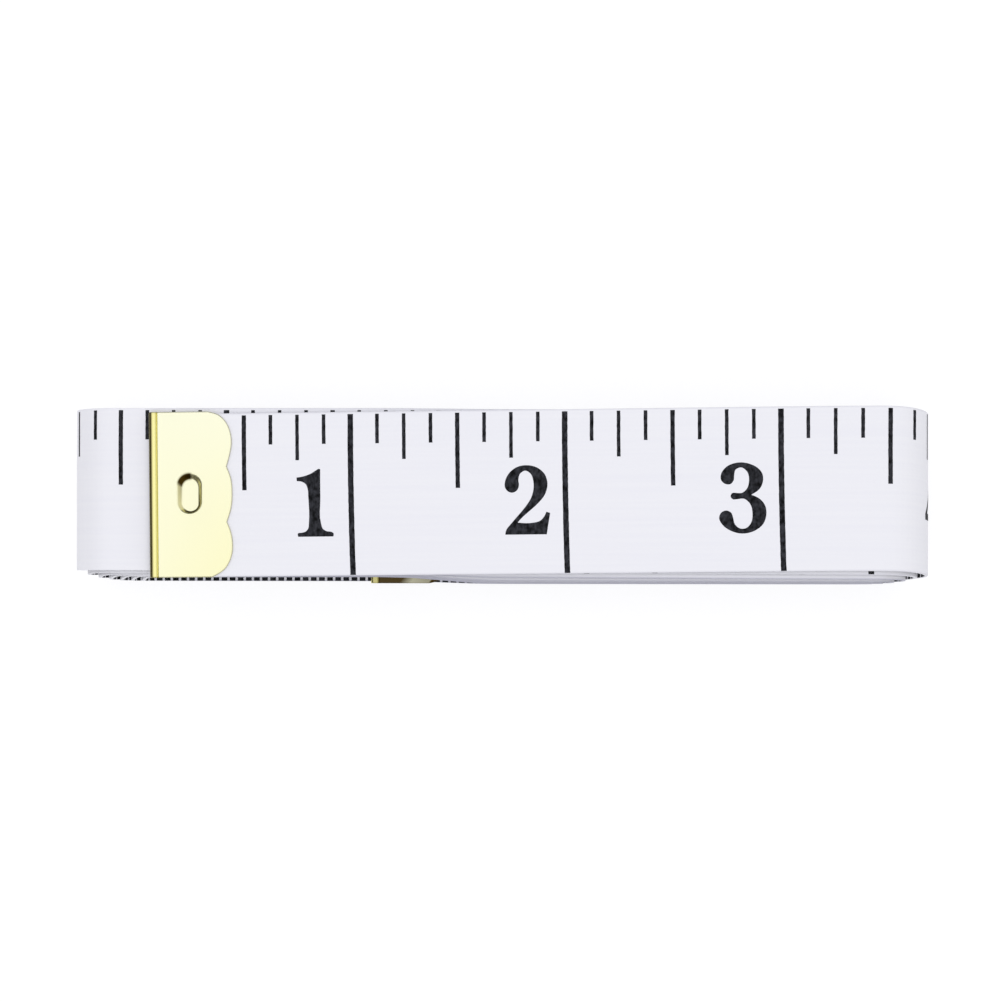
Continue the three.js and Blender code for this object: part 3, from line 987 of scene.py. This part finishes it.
# %% [markdown]
# The brass's colour changes at features of the clip. A little of it is the metal's own, and most
# is painted light and shade. A painted mask would do, but each change keeps to a feature of the
# clip, so its share is worked out at every point of the blank from the distance to that feature.
# The brass below reads three of these shares: a warmer tone at the fold with a painted reflection
# tone towards the near lobes, painted shade in the well and the score line, and painted dark
# reflections and shade.

# %% Where the brass is warmed, and where light and shade are painted on it
def rises(value, begin, width):
    """0 up to a value, then smoothly up to 1 within a width."""
    return smooth_step((value - begin) / width)


def falls(value, end, width):
    """1, then smoothly down to 0 within a width before a value."""
    return smooth_step((end - value) / width)


from_fold = np.abs(blank[:, 0]) - fold_half + clip_outside
from_rim = distance_to_outline(blank)
nearness = 0.5 - blank[:, 1] / (2 * clip_half)
well_share = np.where(blank[:, 0] > 0, stake_well(blank), 0)
wall_share = 4 * well_share * (1 - well_share)
well_aspect, far_corner_angle, near_side_angle = 1.7, 118, -50
t_from_well, w_from_well = (blank - well_outline(1)[0]).T
around = np.degrees(np.arctan2(w_from_well / well_aspect, t_from_well))

# Painted reflection tone: the leaves are warmed a little towards the near lobes and away from the fold, on
# top of the yellower fold band.
fold_band, least_warmth, near_warmth, lobe_warmth = 1.21, 0.06, 0.18, 0.27
reflection_warmth_share = least_warmth + nearness * (near_warmth + lobe_warmth * from_fold / 10)
fold_and_reflection_warmth_share = np.maximum(falls(from_fold, fold_band, 0.1), reflection_warmth_share)
# Painted shade: the score line and the walls of the stake's well are darkened to a deeper yellow.
scored = falls(np.abs(from_fold - score_place), 0.1, 0.1)
well_and_score_shade_share = np.maximum(0.4 * wall_share, 0.8 * scored)

# Painted dark reflections on the start clip: in the far corner and on the near side of the well's wall, on
# the outside of the fold, and along the rim.
far_corner = falls(np.abs(around - far_corner_angle), 40, 14)
near_side = 0.9 * falls(np.abs(around - near_side_angle), 85, 20) * rises(well_share, 0.25, 0.3)
well_dark_reflection = rises(wall_share, 0, 0.5) * np.maximum(far_corner, near_side)
fold_dark_reflection = 0.85 * falls(from_fold, 0.5, 0.12)
rim_dark_reflection = 0.45 * falls(from_rim, 0.14, 0.14)
start_clip_dark_reflection_share = np.maximum(fold_dark_reflection, np.maximum(rim_dark_reflection, well_dark_reflection))

# Painted shade on the end clip, which lies under the laps: dark behind the score line, lighter further on,
# and dark again at the corner by the lobes.
least_end_clip_shade = 0.45
behind_score = rises(from_fold, 0.7, 0.4) * (0.98 - 0.4 * rises(from_fold, 3.6, 1.2))
at_lobes = rises(from_fold, 6.8, 0.5)
end_clip_shade_share = np.maximum(np.maximum(behind_score, least_end_clip_shade), at_lobes)
print(f"darkened on average: start clip {start_clip_dark_reflection_share.mean():.2f}, end clip {end_clip_shade_share.mean():.2f}")

# %% [markdown]
# The clips are brass strip, rolled, stamped and polished. Fresh brass of this kind is a pale
# greenish gold, and under a softbox its flat leaves are nearly as bright as the tape. A painted
# reflection tone makes them a little warmer towards the near lobes. Rolling leaves very fine lines
# along the strip, drawn here about a ninth of a millimetre wide, because the real ones are too
# fine to show.
#
# The metal is yellower where it was folded. The rest is painted light and shade: painted dark
# reflections on the sheared rim, on the outside of the fold and in the corners of the stake's
# well, painted shade on the well's walls and in the score line, and painted shade over the clip
# in the core, which lies under the laps.

# %% Stamped and polished brass
grain_length, grain_width, grain_relief = 1.111, 0.1111, 0.006

brass, tree = new_material("stamped_polished_brass")
local = add_node(tree, "ShaderNodeUVMap", uv_map="strip").outputs[0]
grain_place = add_node(tree, "ShaderNodeMapping", {"Vector": local,
                       "Scale": (1 / grain_length, 1 / grain_width, 1)})
grain = add_node(tree, "ShaderNodeTexNoise", {"Vector": grain_place.outputs[0], "Scale": 1.0,
                 "Detail": 3.0})
# The three shares: the first warms the gold at the fold and, as a painted reflection tone, towards the
# near lobes; the second is painted shade in the well and the score line; the third is painted dark
# reflection and shade in dark brown.
fold_and_reflection_warmth = add_node(tree, "ShaderNodeAttribute", attribute_name="fold_and_reflection_warmth")
gold = add_node(tree, "ShaderNodeMix", {"Factor": fold_and_reflection_warmth.outputs["Fac"], "A": from_hex("FFFFE6"),
                "B": from_hex("FFF8AE")}, data_type="RGBA")
well_and_score_shade = add_node(tree, "ShaderNodeAttribute", attribute_name="well_and_score_shade")
gold = add_node(tree, "ShaderNodeMix", {"Factor": well_and_score_shade.outputs["Fac"], "A": gold.outputs["Result"],
                "B": from_hex("E4DA84")}, data_type="RGBA")
dark_reflection_and_shade = add_node(tree, "ShaderNodeAttribute", attribute_name="dark_reflection_and_shade")
gold = add_node(tree, "ShaderNodeMix", {"Factor": dark_reflection_and_shade.outputs["Fac"], "A": gold.outputs["Result"],
                "B": from_hex("40300C")}, data_type="RGBA")
bump = add_node(tree, "ShaderNodeBump", {"Height": grain.outputs["Fac"], "Strength": 0.12,
                "Distance": grain_relief * MM})
surface = add_node(tree, "ShaderNodeBsdfPrincipled", {"Base Color": gold.outputs["Result"],
                   "Metallic": 1.0, "Roughness": 0.24, "Normal": bump.outputs[0]})
add_node(tree, "ShaderNodeOutputMaterial", {"Surface": surface.outputs[0]})
print("brass from FFFFE6 to FFF8AE")

# %% The two clips
def place_clip(name, s, over, dark_reflection_and_shade_share):
    """A clip with its fold at a distance along the tape; the one in the core is turned over."""
    turn = np.interp(s, path[0], path[6])
    middle = wind([(s, 0.0)], 0.0)[0]
    along_tape = np.array([math.cos(turn), math.sin(turn), 0])
    across_tape = np.array([-math.sin(turn), math.cos(turn), 0])
    up = np.array([0, 0, 1.0])
    points = (middle + (clip_points[:, :1] - clip_outside) * along_tape
              + (clip_points[:, 1:2] + clip_slip) * across_tape * over + clip_points[:, 2:] * up * over)
    piece = add_piece(name, points, clip_faces, brass, np.concatenate([blank, blank]))
    shares = {"fold_and_reflection_warmth": fold_and_reflection_warmth_share, "well_and_score_shade": well_and_score_shade_share, "dark_reflection_and_shade": dark_reflection_and_shade_share}
    for label, values in shares.items():
        add_share(piece, label, np.concatenate([values, values]))
    return piece


# The start clip gets the painted dark reflections, the end clip the painted shade.
start_clip = place_clip("start_clip_brass", path[0][0], 1, start_clip_dark_reflection_share)
end_clip = place_clip("end_clip_brass", path[0][-1], -1, end_clip_shade_share)

# %% [markdown]
# ## Joining the pieces to the frame
#
# The winding, its print and the end clip stay with the pack. The start clip goes with the free end.
# The free lap and its print are fixed where they are, joined to neither body, and the CAD's plain
# solids are hidden.

# %% Bodies, and the CAD's solids hidden
for piece in (tape_free_lap, inches_free_lap, centimetres_free_lap):
    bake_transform(piece)
for piece in (tape_winding, inches_winding, centimetres_winding, end_clip):
    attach(piece, "pack")
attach(start_clip, "free_end")

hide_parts("free_lap")
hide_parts("wound_tape")
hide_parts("start_clip")
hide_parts("end_clip")
